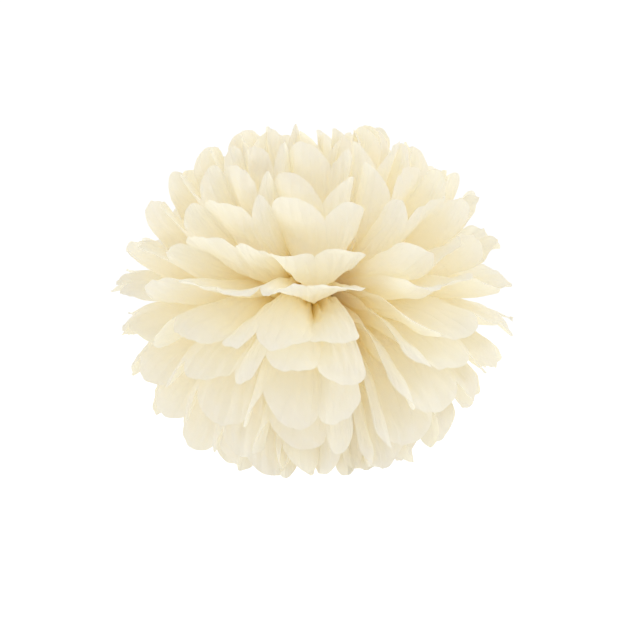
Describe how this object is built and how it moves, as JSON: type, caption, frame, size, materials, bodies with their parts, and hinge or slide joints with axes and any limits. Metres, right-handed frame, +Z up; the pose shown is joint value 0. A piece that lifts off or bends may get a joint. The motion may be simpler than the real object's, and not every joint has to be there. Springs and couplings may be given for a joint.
{
  "type": "tissue paper pom pom",
  "caption": "Round hanging decoration of folded tissue paper sheets tied round the middle and fluffed out into rounded petals.",
  "frame": {"origin": "centre of the wire tie, where the petals radiate from", "axes": "+Z up as it hangs, along the line of a hanging thread; the pictured side faces -Y, and the folded strip runs near X, turned 20 degrees round +Z"},
  "size_m": [0.3467, 0.351, 0.2998],
  "materials": {
    "tissue": "matt ivory tissue paper",
    "wire": "plain florist's wire"
  },
  "bodies": {
    "root": {"upper_sheet_1": "tissue", "upper_sheet_2": "tissue", "upper_sheet_3": "tissue", "upper_sheet_4": "tissue", "upper_sheet_5": "tissue", "upper_sheet_6": "tissue", "lower_sheet_1": "tissue", "lower_sheet_2": "tissue", "lower_sheet_3": "tissue", "lower_sheet_4": "tissue", "lower_sheet_5": "tissue", "lower_sheet_6": "tissue", "wire_tie": "wire"}
  },
  "joints": []
}
